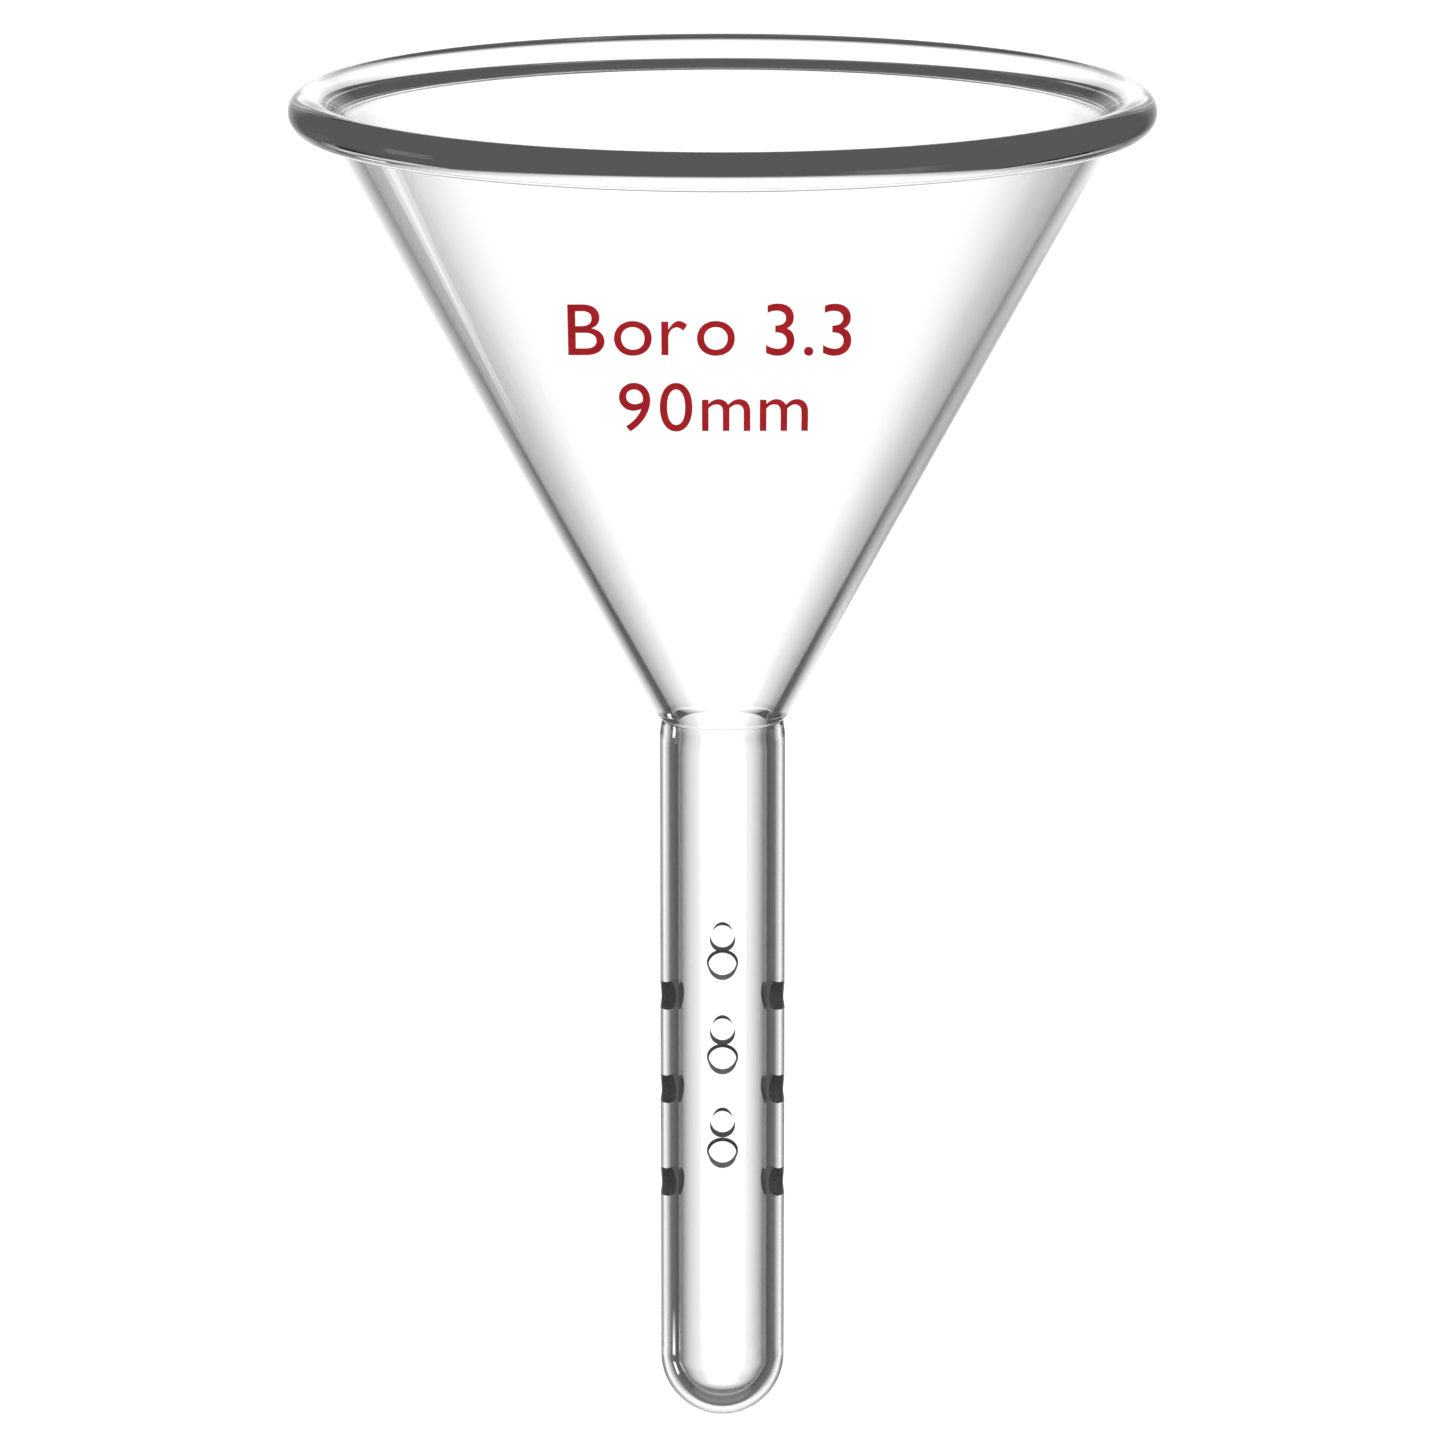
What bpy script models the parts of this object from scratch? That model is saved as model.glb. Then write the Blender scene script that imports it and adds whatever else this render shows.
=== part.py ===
"""Glass funnel: a beaded cone on a closed, round-bottomed stem with drilled side holes.

Units are metres and +Z is up. The axis of the funnel is the Z axis. The origin is the centre
of the circle where a support ring carries the outside of the cone.
"""

import math

import bmesh
import bpy
from mathutils import Matrix

# Driving dimensions
MOUTH_DIAMETER = 0.0900
BEAD_DIAMETER = 0.0039
BEAD_STANDOFF = 0.00108
CONE_HALF_ANGLE = math.radians(28.4)
CONE_WALL = 0.0016
STEM_DIAMETER = 0.01335
STEM_BORE = 0.0095
STEM_LENGTH = 0.0778
SEAT_DIAMETER = 0.0600

# Rim: the lip rolls over into the bead, and a small fillet closes the underside
LIP_ROLL_RADIUS = 0.0130
BEAD_FILLET_RADIUS = 0.0012
RIM_SKIRT = 0.0048

# Throat seal, where the cone is fused to the stem
SEAL_TOP = 0.0030
SEAL_FOOT = 0.0030
SEAL_SHOULDER = 0.0004
SEAL_GROOVE = 0.0002
SEAL_FADE = 0.0020

# Side holes: rows front and back, and rows left and right a little lower
HOLE_DIAMETER = 0.0030
HOLE_ROWS = 3
HOLE_PITCH = 0.01045
FIRST_HOLE_DEPTH = 0.0256
SIDE_HOLE_DROP = 0.0050

# Round end
END_COLLAR = 0.0015

# Fired enamel markings on the front of the cone
MARK_THICKNESS = 0.0002
MARK_SPACING = 0.0009
MARK_SPACE_WIDTH = 0.0020
MARK_TILT = math.radians(10.5)
FONT_CAP_RATIO = 0.729
MARKS = (
    {"letters": "Boro 3.3", "height": 0.00536, "below_bead": 0.0236, "width": 0.0283, "shift": -0.0013},
    {"letters": "90mm", "height": 0.00510, "below_bead": 0.0334, "width": 0.0190, "shift": -0.0009},
)
MARK_NAMES = (
    ("mark_b", "mark_o_1", "mark_r", "mark_o_2", "mark_3_1", "mark_point", "mark_3_2"),
    ("mark_9", "mark_0", "mark_m_1", "mark_m_2"),
)

# Gap left between neighbouring solids
GAP = 0.0003

# Facets round the axis
RIM_FACETS = 72
STEM_FACETS = 48
HOLE_FACETS = 20

# Derived sizes
SIN = math.sin(CONE_HALF_ANGLE)
COS = math.cos(CONE_HALF_ANGLE)
TAN = math.tan(CONE_HALF_ANGLE)
BEAD_RADIUS = BEAD_DIAMETER / 2
BEAD_CENTRE = MOUTH_DIAMETER / 2 - BEAD_RADIUS
STEM_RADIUS = STEM_DIAMETER / 2
BORE_RADIUS = STEM_BORE / 2
OUTER_FACE = -BEAD_STANDOFF
INNER_FACE = -BEAD_STANDOFF - CONE_WALL

# Heights, measured from the seat circle
SEAT_TO_RIM = (BEAD_CENTRE - BEAD_STANDOFF / COS - SEAT_DIAMETER / 2) / TAN
RIM_Z = SEAT_TO_RIM
THROAT_Z = RIM_Z - (BEAD_CENTRE - BEAD_STANDOFF / COS - STEM_RADIUS) / TAN
BORE_TOP_Z = THROAT_Z + (BORE_RADIUS + CONE_WALL / COS - STEM_RADIUS) / TAN
SEAL_TOP_SLANT = -(RIM_Z - THROAT_Z - SEAL_TOP) / COS
SEAL_FOOT_Z = min(THROAT_Z, BORE_TOP_Z) - SEAL_FOOT
FOOT_Z = THROAT_Z - STEM_LENGTH
END_CENTRE_Z = FOOT_Z + STEM_RADIUS
END_TOP_Z = END_CENTRE_Z + END_COLLAR

CLEAR_GLASS = {"colour": (0.96, 0.98, 0.97), "roughness": 0.03, "transmission": 1.0}
RED_ENAMEL = {"colour": (0.43, 0.012, 0.02), "roughness": 0.25, "transmission": 0.0}


def clear_scene():
    for old in list(bpy.data.objects):
        bpy.data.objects.remove(old, do_unlink=True)


def make_material(name, finish):
    material = bpy.data.materials.new(name)
    material.use_nodes = True
    shader = material.node_tree.nodes["Principled BSDF"]
    shader.inputs["Base Color"].default_value = (*finish["colour"], 1.0)
    shader.inputs["Roughness"].default_value = finish["roughness"]
    shader.inputs["Metallic"].default_value = 0.0
    shader.inputs["Transmission Weight"].default_value = finish["transmission"]
    shader.inputs["IOR"].default_value = 1.473
    return material


def finish_object(name, shape, finish):
    """Turn a bmesh into a named, smooth-shaded object with its own material."""
    bmesh.ops.recalc_face_normals(shape, faces=shape.faces)
    if shape.calc_volume(signed=True) < 0.0:
        bmesh.ops.reverse_faces(shape, faces=shape.faces)
    mesh = bpy.data.meshes.new(name)
    shape.to_mesh(mesh)
    shape.free()
    mesh.shade_smooth()
    mesh.set_sharp_from_angle(angle=math.radians(35))
    mesh.materials.append(make_material(name + "_finish", finish))
    piece = bpy.data.objects.new(name, mesh)
    bpy.context.scene.collection.objects.link(piece)
    return piece


def wall_point(slant, outward):
    """A point in the cone's own directions: slant runs up the wall from the bead's centre."""
    return (BEAD_CENTRE + slant * SIN + outward * COS, RIM_Z + slant * COS - outward * SIN)


def arc(centre, radius, start, end, steps):
    """Points (outward, slant) on a round stretch, both ends included."""
    points = []
    for step in range(steps + 1):
        angle = start + (end - start) * step / steps
        points.append((centre[0] + radius * math.cos(angle), centre[1] + radius * math.sin(angle)))
    return points


def turn(profile, facets):
    """Spin a closed outline of (radius, height) points round the Z axis."""
    shape = bmesh.new()
    corners = [shape.verts.new((radius, 0.0, height)) for radius, height in profile]
    edges = [shape.edges.new((a, b)) for a, b in zip(corners, corners[1:])]
    if profile[0][0] > 0.0 or profile[-1][0] > 0.0:
        edges.append(shape.edges.new((corners[-1], corners[0])))
    bmesh.ops.spin(
        shape,
        geom=corners + edges,
        cent=(0.0, 0.0, 0.0),
        axis=(0.0, 0.0, 1.0),
        angle=2 * math.pi,
        steps=facets,
        use_merge=True,
    )
    bmesh.ops.remove_doubles(shape, verts=shape.verts, dist=1e-6)
    return shape


def make_rim_bead():
    """The rolled lip: inner wall, roll-over, bead and the fillet under it."""
    roll_out = INNER_FACE + LIP_ROLL_RADIUS
    roll_up = -math.sqrt((LIP_ROLL_RADIUS - BEAD_RADIUS) ** 2 - roll_out ** 2)
    roll_end = math.atan2(-roll_up, -roll_out)
    fillet_out = OUTER_FACE + BEAD_FILLET_RADIUS
    fillet_up = -math.sqrt((BEAD_RADIUS + BEAD_FILLET_RADIUS) ** 2 - fillet_out ** 2)
    bead_end = math.atan2(fillet_up, fillet_out)
    outline = [(INNER_FACE, -RIM_SKIRT)]
    outline += arc((roll_out, roll_up), LIP_ROLL_RADIUS, math.pi, roll_end, 4)
    outline += arc((0.0, 0.0), BEAD_RADIUS, roll_end, bead_end, 14)[1:]
    outline += arc((fillet_out, fillet_up), BEAD_FILLET_RADIUS, bead_end + math.pi, math.pi, 3)[1:]
    outline.append((OUTER_FACE, -RIM_SKIRT))
    profile = [wall_point(slant, outward) for outward, slant in outline]
    return finish_object("rim_bead", turn(profile, RIM_FACETS), CLEAR_GLASS)


def make_cone():
    top = -RIM_SKIRT - GAP
    foot = SEAL_TOP_SLANT + GAP
    profile = [
        wall_point(top, INNER_FACE),
        wall_point(top, OUTER_FACE),
        wall_point(foot, OUTER_FACE),
        wall_point(foot, INNER_FACE),
    ]
    return finish_object("cone", turn(profile, RIM_FACETS), CLEAR_GLASS)


def make_throat_seal():
    """The fused joint: crisp inside, with a shallow groove outside that fades down the stem."""
    steps = 4
    outside = [(STEM_RADIUS, SEAL_FOOT_Z)]
    for step in range(steps + 1):
        share = step / steps
        depth = SEAL_GROOVE * (1 - math.cos(math.pi * share)) / 2
        outside.append((STEM_RADIUS - depth, THROAT_Z - SEAL_FADE * (1 - share)))
    outside.append((STEM_RADIUS + SEAL_SHOULDER * TAN, THROAT_Z + SEAL_SHOULDER))
    outside.append(wall_point(SEAL_TOP_SLANT, OUTER_FACE))
    inside = [
        wall_point(SEAL_TOP_SLANT, INNER_FACE),
        (BORE_RADIUS, BORE_TOP_Z),
        (BORE_RADIUS, SEAL_FOOT_Z),
    ]
    return finish_object("throat_seal", turn(inside + outside, STEM_FACETS), CLEAR_GLASS)


def make_hole_drills():
    """One long drill for each pair of facing holes, kept as a hidden cutter."""
    shape = bmesh.new()
    for row in range(HOLE_ROWS):
        depth = THROAT_Z - FIRST_HOLE_DEPTH - row * HOLE_PITCH
        for axis, height in (("X", depth), ("Y", depth - SIDE_HOLE_DROP)):
            turned = Matrix.Rotation(math.pi / 2, 4, axis)
            bmesh.ops.create_cone(
                shape,
                cap_ends=True,
                segments=HOLE_FACETS,
                radius1=HOLE_DIAMETER / 2,
                radius2=HOLE_DIAMETER / 2,
                depth=2 * STEM_DIAMETER,
                matrix=Matrix.Translation((0.0, 0.0, height)) @ turned,
            )
    mesh = bpy.data.meshes.new("hole_drills")
    shape.to_mesh(mesh)
    shape.free()
    drills = bpy.data.objects.new("hole_drills", mesh)
    drills.hide_render = True
    drills.display_type = "WIRE"
    bpy.context.scene.collection.objects.link(drills)
    return drills


def make_stem_tube():
    top = SEAL_FOOT_Z - GAP
    foot = END_TOP_Z + GAP
    profile = [(BORE_RADIUS, top), (STEM_RADIUS, top), (STEM_RADIUS, foot), (BORE_RADIUS, foot)]
    stem = finish_object("stem_tube", turn(profile, STEM_FACETS), CLEAR_GLASS)
    cut = stem.modifiers.new("side_holes", "BOOLEAN")
    cut.operation = "DIFFERENCE"
    cut.solver = "EXACT"
    cut.object = make_hole_drills()
    return stem


def make_round_end():
    """The closed end: a hemisphere inside and out, with a short straight collar."""
    steps = 10
    outside = []
    inside = []
    for step in range(steps + 1):
        angle = math.pi / 2 * step / steps
        reach = math.cos(angle) if step < steps else 0.0
        drop = math.sin(angle)
        outside.append((STEM_RADIUS * reach, END_CENTRE_Z - STEM_RADIUS * drop))
        inside.append((BORE_RADIUS * reach, END_CENTRE_Z - BORE_RADIUS * drop))
    outside.insert(0, (STEM_RADIUS, END_TOP_Z))
    inside.insert(0, (BORE_RADIUS, END_TOP_Z))
    profile = outside[::-1] + inside
    return finish_object("round_end", turn(profile, STEM_FACETS), CLEAR_GLASS)


def glyph_shape(letter, height):
    """One letter as a flat closed solid, its left edge at zero and its foot on the baseline."""
    outline = bpy.data.curves.new("letter", "FONT")
    outline.body = letter
    outline.size = height / FONT_CAP_RATIO
    outline.extrude = MARK_THICKNESS / 2
    outline.resolution_u = 3
    holder = bpy.data.objects.new("letter", outline)
    bpy.context.scene.collection.objects.link(holder)
    graph = bpy.context.evaluated_depsgraph_get()
    flat = bpy.data.meshes.new_from_object(holder.evaluated_get(graph))
    shape = bmesh.new()
    shape.from_mesh(flat)
    bmesh.ops.remove_doubles(shape, verts=shape.verts, dist=2e-6)
    bpy.data.objects.remove(holder, do_unlink=True)
    bpy.data.meshes.remove(flat)
    left = min(vert.co.x for vert in shape.verts)
    for vert in shape.verts:
        vert.co.x -= left
        vert.co.z += MARK_THICKNESS / 2
    return shape


def lay_on_cone(across, up, below_bead, lift):
    """Where a point of a flat transfer comes to lie, so that it reads straight from the front."""
    base_radius, base_height = wall_point(-below_bead, OUTER_FACE)
    level = up + base_height * math.cos(MARK_TILT) - base_radius * math.sin(MARK_TILT)
    radius = base_radius
    for _ in range(12):
        depth = math.sqrt(radius * radius - across * across)
        height = (level + depth * math.sin(MARK_TILT)) / math.cos(MARK_TILT)
        radius = base_radius + (height - base_height) * TAN
    turned = math.asin(across / radius)
    radius += lift * COS
    return (radius * math.sin(turned), -radius * math.cos(turned), height - lift * SIN)


def make_marks(mark, names):
    """Set one line of letters from left to right, fitted to the line's width."""
    letters = [letter for letter in mark["letters"] if letter != " "]
    shapes = [glyph_shape(letter, mark["height"]) for letter in letters]
    widths = [max(vert.co.x for vert in shape.verts) for shape in shapes]
    starts = []
    pen = 0.0
    count = 0
    for letter in mark["letters"]:
        if letter == " ":
            pen += MARK_SPACE_WIDTH
            continue
        starts.append(pen)
        pen += widths[count] + MARK_SPACING
        count += 1
    squeeze = mark["width"] / (pen - MARK_SPACING)
    left = mark["shift"] - mark["width"] / 2
    for shape, start, name in zip(shapes, starts, names):
        for vert in shape.verts:
            across = (start + vert.co.x) * squeeze + left
            vert.co = lay_on_cone(across, vert.co.y, mark["below_bead"], GAP + vert.co.z)
        finish_object(name, shape, RED_ENAMEL)


def main():
    clear_scene()
    make_rim_bead()
    make_cone()
    make_throat_seal()
    make_stem_tube()
    make_round_end()
    for mark, names in zip(MARKS, MARK_NAMES):
        make_marks(mark, names)


main()
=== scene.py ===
"""Looks of a glass funnel: clear fused glass, ground side holes and fired red enamel."""

import math

import bmesh
import bpy
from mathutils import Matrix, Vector


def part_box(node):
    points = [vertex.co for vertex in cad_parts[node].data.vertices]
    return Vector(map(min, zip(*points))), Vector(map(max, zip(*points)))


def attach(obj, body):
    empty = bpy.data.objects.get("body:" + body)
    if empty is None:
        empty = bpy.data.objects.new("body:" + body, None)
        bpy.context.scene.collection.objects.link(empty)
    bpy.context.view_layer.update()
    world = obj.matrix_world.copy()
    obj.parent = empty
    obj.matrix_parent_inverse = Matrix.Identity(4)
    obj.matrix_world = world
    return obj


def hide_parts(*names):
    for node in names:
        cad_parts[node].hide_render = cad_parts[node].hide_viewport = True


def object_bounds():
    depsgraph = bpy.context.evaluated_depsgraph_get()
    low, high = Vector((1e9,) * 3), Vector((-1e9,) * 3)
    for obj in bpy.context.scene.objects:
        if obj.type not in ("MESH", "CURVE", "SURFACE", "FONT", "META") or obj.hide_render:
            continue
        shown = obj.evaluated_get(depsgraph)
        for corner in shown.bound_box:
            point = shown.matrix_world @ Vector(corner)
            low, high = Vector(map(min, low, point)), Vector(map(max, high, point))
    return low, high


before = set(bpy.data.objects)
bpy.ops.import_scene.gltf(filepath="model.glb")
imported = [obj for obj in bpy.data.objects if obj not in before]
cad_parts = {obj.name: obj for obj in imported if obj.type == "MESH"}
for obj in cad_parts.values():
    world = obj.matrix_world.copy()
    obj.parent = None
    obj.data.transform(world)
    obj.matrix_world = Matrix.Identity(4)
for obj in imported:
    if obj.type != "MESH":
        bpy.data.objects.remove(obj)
cad_low, cad_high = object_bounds()

# Glass sizes, in metres
BEAD_RADIUS = 0.00195
BEAD_STANDOFF = 0.00108
CONE_WALL = 0.0016
CONE_HALF_ANGLE = math.radians(28.4)
STEM_WALL = 0.001925
LIP_ROLL_RADIUS = 0.0130
BEAD_FILLET_RADIUS = 0.0012
RIM_SKIRT = 0.00495
SEAL_TOP = 0.0030
SEAL_SHOULDER = 0.0004
SEAL_GROOVE = 0.0002
SEAL_FADE = 0.0020
# The way out of the groove, as shares of its depth and of the shoulder's height
GROOVE_CLIMB = ((0.8, 0.15), (0.35, 0.35))
SHOULDER_UNDER = 0.15
SHOULDER_OVER = 0.2
CORNER_ROUND = 0.0001

# Side holes
HOLE_DIAMETER = 0.0030
HOLE_ROWS = 3
HOLE_PITCH = 0.01045
FIRST_HOLE_DEPTH = 0.0256
SIDE_HOLE_DROP = 0.0050

# Enamel
MARK_THICKNESS = 0.00004
MARK_LIFT = 0.00002
MARK_SPACING = 0.0009
MARK_SPACE_WIDTH = 0.0020
MARK_TILT = math.radians(10.5)
FONT_CAP_RATIO = 0.729
MARKS = (
    {"letters": "Boro 3.3", "height": 0.00536, "below_bead": 0.0236, "width": 0.0283, "shift": -0.0013},
    {"letters": "90mm", "height": 0.00510, "below_bead": 0.0334, "width": 0.0190, "shift": -0.0009},
)
MARK_NAMES = (
    ("mark_b", "mark_o_1", "mark_r", "mark_o_2", "mark_3_1", "mark_point", "mark_3_2"),
    ("mark_9", "mark_0", "mark_m_1", "mark_m_2"),
)

# Facets and steps of the round stretches
TURN_FACETS = 288
HOLE_FACETS = 48
BEAD_STEPS = 64
END_STEPS = 48
ROLL_STEPS = 16
FILLET_STEPS = 12
GROOVE_STEPS = 16
LETTER_SMOOTHNESS = 10
LETTER_STRIPS = 12
SETTLING_ROUNDS = 12

# How near points merge and faces count as lying in a joint, and how far a support point stands off
SUPPORT = 0.0001
MERGE = 1e-7
LETTER_MERGE = 1e-6
JOINT_TOLERANCE = 1e-6

# The least cosine at which a face counts as the stem's own wall, or as its flat end
ON_STEM_WALL = 0.9
ON_STEM_END = 0.999

# Optics: the joint grey is painted light, a dim glow that stands for the many inner reflections of
# light led down the wall
GLASS_IOR = 1.473
PAINTED_REFLECTION_GREY = (0.095, 0.095, 0.096, 1.0)
JOINT_TURN = 0.55
JOINT_SHARPNESS = 8.0
ENAMEL_GLOW = 0.3
WHITE = (1.0, 1.0, 1.0, 1.0)
LIGHT_BOUNCES = 48
JOINT_CROSSINGS = 32

SIN = math.sin(CONE_HALF_ANGLE)
COS = math.cos(CONE_HALF_ANGLE)
TAN = math.tan(CONE_HALF_ANGLE)
OUTER_FACE = -BEAD_STANDOFF
INNER_FACE = -BEAD_STANDOFF - CONE_WALL

# Places, read from the frame
MOUTH_RADIUS = (cad_high.x - cad_low.x) / 2
RIM_Z = cad_high.z - BEAD_RADIUS
FOOT_Z = cad_low.z
BEAD_CENTRE = MOUTH_RADIUS - BEAD_RADIUS
STEM_LOW, STEM_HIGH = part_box("stem_tube")
STEM_RADIUS = (STEM_HIGH.x - STEM_LOW.x) / 2
BORE_RADIUS = STEM_RADIUS - STEM_WALL
THROAT_Z = RIM_Z - (BEAD_CENTRE - BEAD_STANDOFF / COS - STEM_RADIUS) / TAN
BORE_TOP_Z = THROAT_Z + (BORE_RADIUS + CONE_WALL / COS - STEM_RADIUS) / TAN
END_CENTRE_Z = FOOT_Z + STEM_RADIUS


def middle(upper, lower):
    """Height halfway between two neighbouring CAD nodes."""
    return (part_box(upper)[0].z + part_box(lower)[1].z) / 2


THROAT_FOOT_Z = middle("throat_seal", "stem_tube")
STEM_FOOT_Z = middle("stem_tube", "round_end")
SEAL_TOP_SLANT = -(RIM_Z - THROAT_Z - SEAL_TOP) / COS


# ---------------------------------------------------------------- shader helper
class Socket:
    """Wraps a node socket, so that shader maths reads as plain expressions."""

    def __init__(self, tree, link):
        self.tree = tree
        self.link = link

    def math(self, operation, *others):
        node = self.tree.nodes.new("ShaderNodeMath")
        node.operation = operation
        for index, value in enumerate((self, *others)):
            connect(self.tree, value, node.inputs[index])
        return Socket(self.tree, node.outputs[0])

    def __add__(self, other):
        return self.math("ADD", other)

    def __radd__(self, other):
        return self.math("ADD", other)

    def __sub__(self, other):
        return self.math("SUBTRACT", other)

    def __rsub__(self, other):
        return (self * -1.0) + other

    def __mul__(self, other):
        return self.math("MULTIPLY", other)

    def __rmul__(self, other):
        return self.math("MULTIPLY", other)

    def __truediv__(self, other):
        return self.math("DIVIDE", other)


def connect(tree, value, entry):
    if isinstance(value, Socket):
        tree.links.new(value.link, entry)
    else:
        entry.default_value = value


class Shader:
    """Adds nodes to one material or world tree."""

    def __init__(self, tree):
        self.tree = tree

    def node(self, kind, settings=None, out=0, entries=(), **inputs):
        """Any node: its settings first, then its sockets in order (entries) or by name."""
        made = self.tree.nodes.new(kind)
        for key, value in (settings or {}).items():
            if key == "stops":
                for stop, (place, colour) in zip(ramp_stops(made, len(value)), value):
                    stop.position = place
                    stop.color = colour
            else:
                setattr(made, key, value)
        for index, value in enumerate(entries):
            connect(self.tree, value, made.inputs[index])
        for key, value in inputs.items():
            connect(self.tree, value, made.inputs[key.replace("_", " ")])
        return Socket(self.tree, made.outputs[out]) if made.outputs else None


def ramp_stops(made, count):
    elements = made.color_ramp.elements
    while len(elements) < count:
        elements.new(1.0)
    return elements


def new_material(name):
    material = bpy.data.materials.new(name)
    material.use_nodes = True
    material.node_tree.nodes.clear()
    return material, Shader(material.node_tree)


# ---------------------------------------------------------------- materials
def clear_glass():
    """Polished borosilicate glass with the faint waviness of drawn tube."""
    material, shader = new_material("clear_glass")
    place = shader.node("ShaderNodeTexCoord", out="Object")
    wave = shader.node("ShaderNodeTexNoise", Vector=place, Scale=90.0, Detail=2.0, Roughness=0.5)
    smear = shader.node("ShaderNodeTexNoise", Vector=place, Scale=260.0, Detail=3.0, Roughness=0.6)
    bump = shader.node("ShaderNodeBump", Height=wave, Strength=0.05, Distance=0.00005)
    body = shader.node(
        "ShaderNodeBsdfPrincipled",
        Base_Color=(0.993, 0.995, 0.995, 1.0),
        Roughness=smear * 0.012,
        Metallic=0.0,
        IOR=GLASS_IOR,
        Transmission_Weight=1.0,
        Normal=bump,
    )
    shader.node("ShaderNodeOutputMaterial", Surface=body)
    return material


def ground_glass():
    """The matt, freshly ground walls of the side holes."""
    material, shader = new_material("ground_glass")
    place = shader.node("ShaderNodeTexCoord", out="Object")
    grit = shader.node("ShaderNodeTexNoise", Vector=place, Scale=6000.0, Detail=3.0, Roughness=0.7)
    shade = shader.node(
        "ShaderNodeValToRGB",
        {"stops": ((0.35, (0.30, 0.30, 0.305, 1.0)), (0.65, (0.78, 0.78, 0.79, 1.0)))},
        Fac=grit,
    )
    bump = shader.node("ShaderNodeBump", Height=grit, Strength=0.7, Distance=0.00008)
    body = shader.node(
        "ShaderNodeBsdfPrincipled",
        Base_Color=shade,
        Roughness=grit * 0.2 + 0.5,
        Metallic=0.0,
        IOR=GLASS_IOR,
        Normal=bump,
    )
    shader.node("ShaderNodeOutputMaterial", Surface=body)
    return material


def fused_face():
    """A joint inside the fused glass: clear across the wall; to light led down it, a dim grey glow,
    painted light for its many inner reflections.
    """
    material, shader = new_material("fused_face")
    facing = shader.node("ShaderNodeLayerWeight", out="Facing", Blend=0.5)
    led_down = ((JOINT_TURN - facing) * JOINT_SHARPNESS).math("MINIMUM", 1.0).math("MAXIMUM", 0.0)
    clear = shader.node("ShaderNodeBsdfTransparent", Color=WHITE)
    # painted light: a dim grey glow in place of the light that inner reflections lead down the wall
    dim = shader.node("ShaderNodeEmission", Color=PAINTED_REFLECTION_GREY, Strength=1.0)
    body = shader.node("ShaderNodeMixShader", entries=(led_down, clear, dim))
    shader.node("ShaderNodeOutputMaterial", Surface=body)
    return material


def red_enamel():
    """Screen-printed enamel, fired on: a little uneven in tone and gloss.

    Its small glow stands for the light that bright surroundings would give it.
    """
    material, shader = new_material("red_enamel")
    place = shader.node("ShaderNodeTexCoord", out="Object")
    cloud = shader.node("ShaderNodeTexNoise", Vector=place, Scale=700.0, Detail=4.0, Roughness=0.6)
    grain = shader.node("ShaderNodeTexNoise", Vector=place, Scale=9000.0, Detail=2.0, Roughness=0.5)
    tone = shader.node(
        "ShaderNodeValToRGB",
        {"stops": ((0.3, (0.42, 0.008, 0.014, 1.0)), (0.7, (0.56, 0.014, 0.022, 1.0)))},
        Fac=cloud,
    )
    bump = shader.node("ShaderNodeBump", Height=grain, Strength=0.25, Distance=0.00002)
    body = shader.node(
        "ShaderNodeBsdfPrincipled",
        Base_Color=tone,
        Roughness=grain * 0.25 + 0.3,
        Metallic=0.0,
        Emission_Color=tone,
        Emission_Strength=ENAMEL_GLOW,
        Normal=bump,
    )
    shader.node("ShaderNodeOutputMaterial", Surface=body)
    return material


# ---------------------------------------------------------------- outlines
def wall_point(slant, outward):
    """A (radius, height): slant runs up the wall from the bead's centre, outward away from it."""
    return (BEAD_CENTRE + slant * SIN + outward * COS, RIM_Z + slant * COS - outward * SIN)


def arc(centre, radius, start, end, steps):
    """Points on a round stretch, both ends included."""
    points = []
    for step in range(steps + 1):
        angle = start + (end - start) * step / steps
        points.append((centre[0] + radius * math.cos(angle), centre[1] + radius * math.sin(angle)))
    return points


def rim_outline():
    """The rolled lip: inner wall, roll-over, bead and the fillet under it."""
    roll_out = INNER_FACE + LIP_ROLL_RADIUS
    roll_up = -math.sqrt((LIP_ROLL_RADIUS - BEAD_RADIUS) ** 2 - roll_out ** 2)
    roll_end = math.atan2(-roll_up, -roll_out)
    fillet_out = OUTER_FACE + BEAD_FILLET_RADIUS
    fillet_up = -math.sqrt((BEAD_RADIUS + BEAD_FILLET_RADIUS) ** 2 - fillet_out ** 2)
    bead_end = math.atan2(fillet_up, fillet_out)
    outline = [(INNER_FACE, -RIM_SKIRT)]
    outline += arc((roll_out, roll_up), LIP_ROLL_RADIUS, math.pi, roll_end, ROLL_STEPS)
    outline += arc((0.0, 0.0), BEAD_RADIUS, roll_end, bead_end, BEAD_STEPS)[1:]
    fillet = arc((fillet_out, fillet_up), BEAD_FILLET_RADIUS, bead_end + math.pi, math.pi, FILLET_STEPS)
    outline += fillet[1:]
    outline.append((OUTER_FACE, -RIM_SKIRT))
    return [wall_point(slant, outward) for outward, slant in outline]


def cone_outline():
    run = [wall_point(-RIM_SKIRT, INNER_FACE), wall_point(SEAL_TOP_SLANT, INNER_FACE)]
    run += [wall_point(SEAL_TOP_SLANT, OUTER_FACE), wall_point(-RIM_SKIRT, OUTER_FACE)]
    return run


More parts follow.
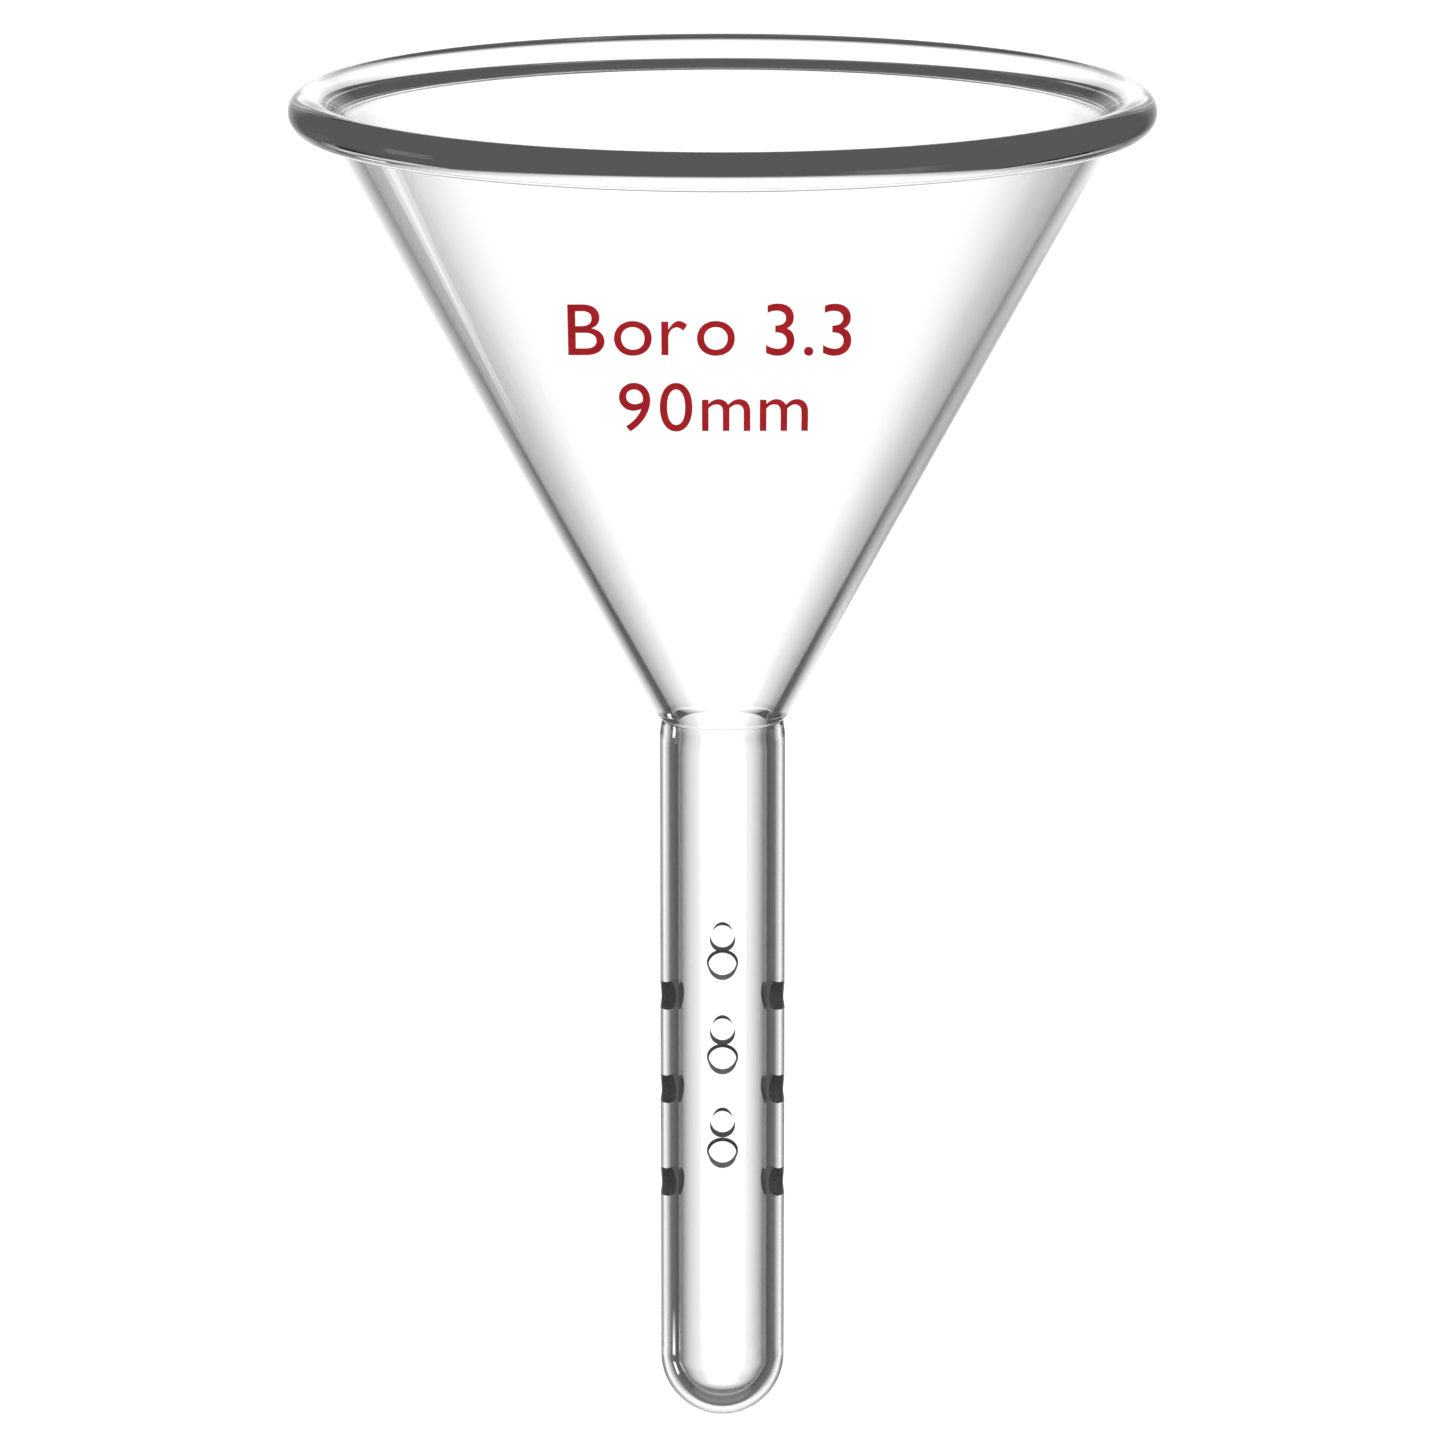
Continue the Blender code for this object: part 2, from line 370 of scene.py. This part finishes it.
def throat_outline():
    """A crisp corner inside; outside, a shallow groove that fades down the stem."""
    outside = [(STEM_RADIUS, THROAT_FOOT_Z)]
    for step in range(GROOVE_STEPS + 1):
        share = step / GROOVE_STEPS
        depth = SEAL_GROOVE * (1 - math.cos(math.pi * share)) / 2
        outside.append((STEM_RADIUS - depth, THROAT_Z - SEAL_FADE * (1 - share)))
    for inset, climb in GROOVE_CLIMB:
        outside.append((STEM_RADIUS - SEAL_GROOVE * inset, THROAT_Z + SEAL_SHOULDER * climb))
    radius = STEM_RADIUS + SEAL_SHOULDER * TAN
    height = THROAT_Z + SEAL_SHOULDER
    under = SEAL_SHOULDER * SHOULDER_UNDER
    over = SEAL_SHOULDER * SHOULDER_OVER
    outside.append((radius - under, height - under))
    outside.append((radius + over * TAN, height + over))
    outside.append(wall_point(SEAL_TOP_SLANT, OUTER_FACE))
    inside = [
        wall_point(SEAL_TOP_SLANT, INNER_FACE),
        (BORE_RADIUS + CORNER_ROUND * TAN, BORE_TOP_Z + CORNER_ROUND),
        (BORE_RADIUS + CORNER_ROUND * TAN / 4, BORE_TOP_Z + CORNER_ROUND / 4),
        (BORE_RADIUS, BORE_TOP_Z - CORNER_ROUND / 2),
        (BORE_RADIUS, THROAT_FOOT_Z),
    ]
    return inside + outside


def stem_outline():
    return [(BORE_RADIUS, THROAT_FOOT_Z), (BORE_RADIUS, STEM_FOOT_Z),
            (STEM_RADIUS, STEM_FOOT_Z), (STEM_RADIUS, THROAT_FOOT_Z)]


def end_outline():
    """The closed end: half a sphere inside and out."""
    outside = [(STEM_RADIUS, STEM_FOOT_Z)]
    inside = [(BORE_RADIUS, STEM_FOOT_Z)]
    for step in range(END_STEPS + 1):
        angle = math.pi / 2 * step / END_STEPS
        reach = math.cos(angle) if step < END_STEPS else 0.0
        outside.append((STEM_RADIUS * reach, END_CENTRE_Z - STEM_RADIUS * math.sin(angle)))
        inside.append((BORE_RADIUS * reach, END_CENTRE_Z - BORE_RADIUS * math.sin(angle)))
    return inside[::-1] + outside


def supported(profile):
    """Extra points close to both ends of each long straight, so that it shades straight."""
    closed = profile[0][0] > 0.0 or profile[-1][0] > 0.0
    following = profile[1:] + (profile[:1] if closed else [])
    run = []
    for start, end in zip(profile, following):
        run.append(start)
        length = math.dist(start, end)
        if length > 6 * SUPPORT:
            for share in (SUPPORT / length, 1 - SUPPORT / length):
                run.append(tuple(a + (b - a) * share for a, b in zip(start, end)))
    if not closed:
        run.append(profile[-1])
    return run


# ---------------------------------------------------------------- meshes
def turn(profile):
    """Spin a closed outline of (radius, height) points round the Z axis."""
    shape = bmesh.new()
    run = supported(profile)
    corners = [shape.verts.new((radius, 0.0, height)) for radius, height in run]
    edges = [shape.edges.new((a, b)) for a, b in zip(corners, corners[1:])]
    if profile[0][0] > 0.0 or profile[-1][0] > 0.0:
        edges.append(shape.edges.new((corners[-1], corners[0])))
    bmesh.ops.spin(
        shape, geom=corners + edges, cent=(0.0, 0.0, 0.0), axis=(0.0, 0.0, 1.0),
        angle=2 * math.pi, steps=TURN_FACETS, use_merge=True,
    )
    bmesh.ops.remove_doubles(shape, verts=shape.verts, dist=MERGE)
    face_outward(shape)
    return shape


def face_outward(shape):
    bmesh.ops.recalc_face_normals(shape, faces=shape.faces)
    if shape.calc_volume(signed=True) < 0.0:
        bmesh.ops.reverse_faces(shape, faces=shape.faces)


def add_piece(name, mesh, materials):
    for material in materials:
        mesh.materials.append(material)
    piece = bpy.data.objects.new(name, mesh)
    bpy.context.scene.collection.objects.link(piece)
    return piece


def on_joint(face, joints):
    """True when a face lies in one of the joints: a plane, or a cone's cut square to its wall."""
    for kind, place in joints:
        if kind == "level" and all(abs(v.co.z - place) < JOINT_TOLERANCE for v in face.verts):
            return True
        if kind == "slant":
            spans = [
                (math.hypot(v.co.x, v.co.y) - BEAD_CENTRE) * SIN + (v.co.z - RIM_Z) * COS
                for v in face.verts
            ]
            if all(abs(span - place) < JOINT_TOLERANCE for span in spans):
                return True
    return False


def shade_glass(shape, name, joints):
    """Smooth the glass, and set its joint faces apart with sharp edges and their own slot."""
    for face in shape.faces:
        face.smooth = True
        if on_joint(face, joints):
            face.material_index = 1
            for edge in face.edges:
                if any(not on_joint(other, joints) for other in edge.link_faces):
                    edge.smooth = False
    mesh = bpy.data.meshes.new(name)
    shape.to_mesh(mesh)
    shape.free()
    return mesh


def turned_glass(name, outline, joints, materials):
    return add_piece(name, shade_glass(turn(outline), name, joints), materials)


def hole_drills(ground):
    """Geometry nodes set one drill through each pair of facing side holes."""
    tree = bpy.data.node_groups.new("side_hole_drills", "GeometryNodeTree")
    sizes = (
        ("Rows", "NodeSocketInt", HOLE_ROWS),
        ("Pitch", "NodeSocketFloat", HOLE_PITCH),
        ("Drop", "NodeSocketFloat", SIDE_HOLE_DROP),
        ("Top", "NodeSocketFloat", THROAT_Z - FIRST_HOLE_DEPTH),
        ("Radius", "NodeSocketFloat", HOLE_DIAMETER / 2),
        ("Length", "NodeSocketFloat", 4 * STEM_RADIUS),
    )
    for label, kind, _ in sizes:
        tree.interface.new_socket(label, in_out="INPUT", socket_type=kind)
    tree.interface.new_socket("Geometry", in_out="OUTPUT", socket_type="NodeSocketGeometry")
    nodes = tree.nodes
    links = tree.links
    given = nodes.new("NodeGroupInput")
    result = nodes.new("NodeGroupOutput")
    drill = nodes.new("GeometryNodeMeshCylinder")
    drill.inputs["Vertices"].default_value = HOLE_FACETS
    links.new(given.outputs["Radius"], drill.inputs["Radius"])
    links.new(given.outputs["Length"], drill.inputs["Depth"])
    down = nodes.new("ShaderNodeMath")
    down.operation = "MULTIPLY"
    down.inputs[1].default_value = -1.0
    links.new(given.outputs["Pitch"], down.inputs[0])
    step = nodes.new("ShaderNodeCombineXYZ")
    links.new(down.outputs[0], step.inputs["Z"])
    join = nodes.new("GeometryNodeJoinGeometry")
    for turned, lowered in (((math.pi / 2, 0.0, 0.0), False), ((0.0, math.pi / 2, 0.0), True)):
        start = nodes.new("ShaderNodeCombineXYZ")
        if lowered:
            drop = nodes.new("ShaderNodeMath")
            drop.operation = "SUBTRACT"
            links.new(given.outputs["Top"], drop.inputs[0])
            links.new(given.outputs["Drop"], drop.inputs[1])
            links.new(drop.outputs[0], start.inputs["Z"])
        else:
            links.new(given.outputs["Top"], start.inputs["Z"])
        rows = nodes.new("GeometryNodeMeshLine")
        links.new(given.outputs["Rows"], rows.inputs["Count"])
        links.new(start.outputs[0], rows.inputs["Start Location"])
        links.new(step.outputs[0], rows.inputs["Offset"])
        place = nodes.new("GeometryNodeInstanceOnPoints")
        place.inputs["Rotation"].default_value = turned
        links.new(rows.outputs["Mesh"], place.inputs["Points"])
        links.new(drill.outputs["Mesh"], place.inputs["Instance"])
        links.new(place.outputs["Instances"], join.inputs["Geometry"])
    real = nodes.new("GeometryNodeRealizeInstances")
    links.new(join.outputs["Geometry"], real.inputs["Geometry"])
    surface = nodes.new("GeometryNodeSetMaterial")
    surface.inputs["Material"].default_value = ground
    links.new(real.outputs["Geometry"], surface.inputs["Geometry"])
    links.new(surface.outputs["Geometry"], result.inputs["Geometry"])
    holder = bpy.data.objects.new("side_hole_drills", bpy.data.meshes.new("side_hole_drills"))
    bpy.context.scene.collection.objects.link(holder)
    grower = holder.modifiers.new("drills", "NODES")
    grower.node_group = tree
    for item in tree.interface.items_tree:
        for label, _, value in sizes:
            if item.in_out == "INPUT" and item.name == label:
                grower[item.identifier] = value
    graph = bpy.context.evaluated_depsgraph_get()
    mesh = bpy.data.meshes.new_from_object(holder.evaluated_get(graph))
    bpy.data.objects.remove(holder, do_unlink=True)
    drills = bpy.data.objects.new("side_hole_drills", mesh)
    bpy.context.scene.collection.objects.link(drills)
    return drills


def stem_normal(point, face_normal):
    """The exact direction of the stem's surface, for smooth glass round the holes."""
    radial = Vector((point.x, point.y, 0.0)).normalized()
    if abs(face_normal.dot(radial)) > ON_STEM_WALL:
        return radial if face_normal.dot(radial) > 0.0 else -radial
    if abs(face_normal.z) > ON_STEM_END:
        return face_normal
    best = None
    for row in range(HOLE_ROWS):
        height = THROAT_Z - FIRST_HOLE_DEPTH - row * HOLE_PITCH
        for level, across in ((height, point.x), (height - SIDE_HOLE_DROP, point.y)):
            gap = abs(math.hypot(across, point.z - level) - HOLE_DIAMETER / 2)
            if best is None or gap < best[0]:
                if level == height:
                    inward = Vector((-point.x, 0.0, level - point.z))
                else:
                    inward = Vector((0.0, -point.y, level - point.z))
                best = (gap, inward.normalized())
    return best[1]


def make_stem(materials):
    """The tube with its side holes cut, and matt walls in the holes."""
    blank = add_piece("stem_blank", shade_glass(turn(stem_outline()), "stem_blank", ()), ())
    drills = hole_drills(materials[2])
    cut = blank.modifiers.new("holes", "BOOLEAN")
    cut.operation = "DIFFERENCE"
    cut.solver = "EXACT"
    cut.object = drills
    graph = bpy.context.evaluated_depsgraph_get()
    mesh = bpy.data.meshes.new_from_object(blank.evaluated_get(graph))
    bpy.data.objects.remove(blank, do_unlink=True)
    bpy.data.objects.remove(drills, do_unlink=True)
    mesh.materials.clear()
    shape = bmesh.new()
    shape.from_mesh(mesh)
    bmesh.ops.remove_doubles(shape, verts=shape.verts, dist=MERGE)
    bmesh.ops.triangulate(shape, faces=[face for face in shape.faces if len(face.verts) > 4])
    joints = (("level", THROAT_FOOT_Z), ("level", STEM_FOOT_Z))
    for face in shape.faces:
        face.smooth = True
        face.material_index = 0
        centre = face.calc_center_median()
        radial = Vector((centre.x, centre.y, 0.0)).normalized()
        if on_joint(face, joints):
            face.material_index = 1
        elif abs(face.normal.dot(radial)) < ON_STEM_WALL:
            face.material_index = 2
    shape.to_mesh(mesh)
    shape.free()
    normals = []
    for face in mesh.polygons:
        for corner in face.loop_indices:
            point = mesh.vertices[mesh.loops[corner].vertex_index].co
            normals.append(stem_normal(point, face.normal))
    mesh.normals_split_custom_set(normals)
    return add_piece("stem_glass", mesh, materials)


def glyph_shape(letter, height):
    """One letter as a flat closed solid, cut into narrow strips so that it can bend."""
    outline = bpy.data.curves.new("letter", "FONT")
    outline.body = letter
    outline.size = height / FONT_CAP_RATIO
    outline.extrude = MARK_THICKNESS / 2
    outline.resolution_u = LETTER_SMOOTHNESS
    holder = bpy.data.objects.new("letter", outline)
    bpy.context.scene.collection.objects.link(holder)
    graph = bpy.context.evaluated_depsgraph_get()
    flat = bpy.data.meshes.new_from_object(holder.evaluated_get(graph))
    shape = bmesh.new()
    shape.from_mesh(flat)
    bmesh.ops.remove_doubles(shape, verts=shape.verts, dist=LETTER_MERGE)
    bpy.data.objects.remove(holder, do_unlink=True)
    bpy.data.meshes.remove(flat)
    left = min(vert.co.x for vert in shape.verts)
    for vert in shape.verts:
        vert.co.x -= left
        vert.co.z += MARK_THICKNESS / 2
    width = max(vert.co.x for vert in shape.verts)
    for strip in range(1, LETTER_STRIPS):
        bmesh.ops.bisect_plane(
            shape, geom=shape.verts[:] + shape.edges[:] + shape.faces[:],
            plane_co=(width * strip / LETTER_STRIPS, 0.0, 0.0), plane_no=(1.0, 0.0, 0.0), dist=MERGE,
        )
    return shape, width


def lay_on_cone(across, up, below_bead, lift):
    """Where a point of a flat transfer comes to lie, so that it reads straight from the front."""
    base_radius, base_height = wall_point(-below_bead, OUTER_FACE)
    level = up + base_height * math.cos(MARK_TILT) - base_radius * math.sin(MARK_TILT)
    radius = base_radius
    for _ in range(SETTLING_ROUNDS):
        depth = math.sqrt(radius * radius - across * across)
        height = (level + depth * math.sin(MARK_TILT)) / math.cos(MARK_TILT)
        radius = base_radius + (height - base_height) * TAN
    turn_angle = math.asin(across / radius)
    radius += lift * COS
    return (radius * math.sin(turn_angle), -radius * math.cos(turn_angle), height - lift * SIN)


def make_marks(mark, names, material):
    """Set one line of letters from left to right, fitted to the line's width."""
    letters = [letter for letter in mark["letters"] if letter != " "]
    glyphs = [glyph_shape(letter, mark["height"]) for letter in letters]
    starts = []
    pen = 0.0
    for letter in mark["letters"]:
        if letter == " ":
            pen += MARK_SPACE_WIDTH
            continue
        starts.append(pen)
        pen += glyphs[len(starts) - 1][1] + MARK_SPACING
    squeeze = mark["width"] / (pen - MARK_SPACING)
    left = mark["shift"] - mark["width"] / 2
    for (shape, _), start, name in zip(glyphs, starts, names):
        for vert in shape.verts:
            across = (start + vert.co.x) * squeeze + left
            vert.co = lay_on_cone(across, vert.co.y, mark["below_bead"], MARK_LIFT + vert.co.z)
        face_outward(shape)
        mesh = bpy.data.meshes.new(name)
        shape.to_mesh(mesh)
        shape.free()
        piece = add_piece(name.replace("mark", "enamel"), mesh, (material,))
        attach(piece, "root")
        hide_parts(name)


# ---------------------------------------------------------------- the funnel
glass = clear_glass()
joint = fused_face()
matt = ground_glass()
rim_joint = ("slant", -RIM_SKIRT)
seal_joint = ("slant", SEAL_TOP_SLANT)
foot_joint = ("level", THROAT_FOOT_Z)
end_joint = ("level", STEM_FOOT_Z)
fused = (glass, joint)
glass_pieces = (
    (turned_glass("rim_bead_glass", rim_outline(), (rim_joint,), fused), "rim_bead"),
    (turned_glass("cone_glass", cone_outline(), (rim_joint, seal_joint), fused), "cone"),
    (turned_glass("throat_glass", throat_outline(), (seal_joint, foot_joint), fused), "throat_seal"),
    (make_stem((glass, joint, matt)), "stem_tube"),
    (turned_glass("round_end_glass", end_outline(), (end_joint,), fused), "round_end"),
)
for piece, node in glass_pieces:
    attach(piece, "root")
    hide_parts(node)
enamel = red_enamel()
for mark, names in zip(MARKS, MARK_NAMES):
    make_marks(mark, names, enamel)


# ---------------------------------------------------------------- camera and light
CAMERA_DISTANCE = 0.65183
CAMERA_RISE = 0.095107
CAMERA_PITCH = 0.24171
LENS = 157.66
FLOOR_RADIUS = 0.5
FLOOR_FACETS = 96
FLOOR_DROP = 0.65


def make_camera():
    """Looking slightly down at the funnel from a little over half a metre."""
    data = bpy.data.cameras.new("camera")
    data.sensor_width = 36.0
    data.lens = LENS
    data.clip_start = 0.01
    data.clip_end = 100.0
    camera = bpy.data.objects.new("camera", data)
    camera.location = (0.0, -CAMERA_DISTANCE, RIM_Z + CAMERA_RISE)
    camera.rotation_euler = (math.pi / 2 - CAMERA_PITCH, 0.0, 0.0)
    bpy.context.scene.collection.objects.link(camera)
    bpy.context.scene.camera = camera


def make_floor():
    """A plain pale floor, well below the hanging funnel."""
    shape = bmesh.new()
    bmesh.ops.create_circle(shape, cap_ends=True, segments=FLOOR_FACETS, radius=FLOOR_RADIUS)
    for vert in shape.verts:
        vert.co.z = FOOT_Z - FLOOR_DROP
    mesh = bpy.data.meshes.new("floor")
    shape.to_mesh(mesh)
    shape.free()
    material, shader = new_material("pale_floor")
    body = shader.node("ShaderNodeBsdfDiffuse", Color=(0.9, 0.9, 0.9, 1.0))
    shader.node("ShaderNodeOutputMaterial", Surface=body)
    floor = add_piece("floor", mesh, (material,))


# White screens round the funnel. In degrees: bearing from +Y towards -X, height above the horizon,
# half-width and half-height. Last, the share of SPREAD across which the screen's light falls off.
SCREENS = (
    (0.0, -11.0, 5.0, 22.0, 1.0),
    (45.0, -25.6, 4.5, 6.1, 0.04),
    (90.0, -3.0, 7.0, 8.0, 0.12),
    (225.0, -15.0, 8.5, 12.0, 0.3),
)
SCREEN_LIGHT = 1.25
SPREAD = 60.0
EDGE_SHARPNESS = 3.0
# A quick soft edge, then evenly down to the dim surroundings
FALL_OFF = ((0.0, 1.0), (0.05, 0.8), (0.45, 0.07), (1.0, 0.08))
FRONT_LIGHT = 4.6
FRONT_LIGHT_SIZE = (0.8, 0.6)
FRONT_LIGHT_PLACE = (0.0, -1.0, 0.25)
FRONT_LIGHT_TILT = math.radians(76.0)


def make_world():
    """The glass shows screens in dim surroundings; the camera sees plain white past it."""
    world = bpy.data.worlds.new("studio")
    world.use_nodes = True
    world.node_tree.nodes.clear()
    shader = Shader(world.node_tree)
    place = shader.node("ShaderNodeTexCoord", out="Generated")
    x, y, z = (shader.node("ShaderNodeSeparateXYZ", out=axis, entries=(place,)) for axis in range(3))
    height = z.math("ARCSINE") * (180.0 / math.pi)
    nearest = None
    for bearing, level, wide, tall, reach in SCREENS:
        turned = math.radians(bearing)
        ahead = y * math.cos(turned) - x * math.sin(turned)
        aside = x * math.cos(turned) + y * math.sin(turned)
        across = aside.math("ARCTAN2", ahead) * (180.0 / math.pi)
        out_side = (across.math("ABSOLUTE") - wide).math("MAXIMUM", 0.0)
        out_up = ((height - level).math("ABSOLUTE") - tall).math("MAXIMUM", 0.0) * EDGE_SHARPNESS
        far = (out_side * out_side + out_up * out_up).math("SQRT") / (SPREAD * reach)
        nearest = far if nearest is None else nearest.math("MINIMUM", far)
    stops = tuple((place_at, (value, value, value, 1.0)) for place_at, value in FALL_OFF)
    tone = shader.node("ShaderNodeValToRGB", {"stops": stops}, Fac=nearest)
    back = shader.node("ShaderNodeBackground", Color=tone, Strength=SCREEN_LIGHT)
    plain = shader.node("ShaderNodeBackground", Color=WHITE, Strength=SCREEN_LIGHT)
    seen = shader.node("ShaderNodeLightPath", out="Is Camera Ray")
    body = shader.node("ShaderNodeMixShader", entries=(seen, back, plain))
    shader.node("ShaderNodeOutputWorld", Surface=body)
    bpy.context.scene.world = world


def make_front_light():
    """One large soft lamp in front, which lights the enamel and stays out of the glass."""
    lamp = bpy.data.lights.new("front_light", "AREA")
    lamp.shape = "RECTANGLE"
    lamp.size, lamp.size_y = FRONT_LIGHT_SIZE
    lamp.energy = FRONT_LIGHT
    holder = bpy.data.objects.new("front_light", lamp)
    holder.location = FRONT_LIGHT_PLACE
    holder.rotation_euler = (FRONT_LIGHT_TILT, 0.0, 0.0)
    holder.visible_glossy = False
    holder.visible_transmission = False
    bpy.context.scene.collection.objects.link(holder)


make_camera()
make_floor()
make_world()
make_front_light()
bpy.context.scene.cycles.max_bounces = LIGHT_BOUNCES
bpy.context.scene.cycles.transmission_bounces = LIGHT_BOUNCES
bpy.context.scene.cycles.glossy_bounces = LIGHT_BOUNCES
bpy.context.scene.cycles.transparent_max_bounces = JOINT_CROSSINGS
bpy.context.scene.view_settings.view_transform = "Standard"
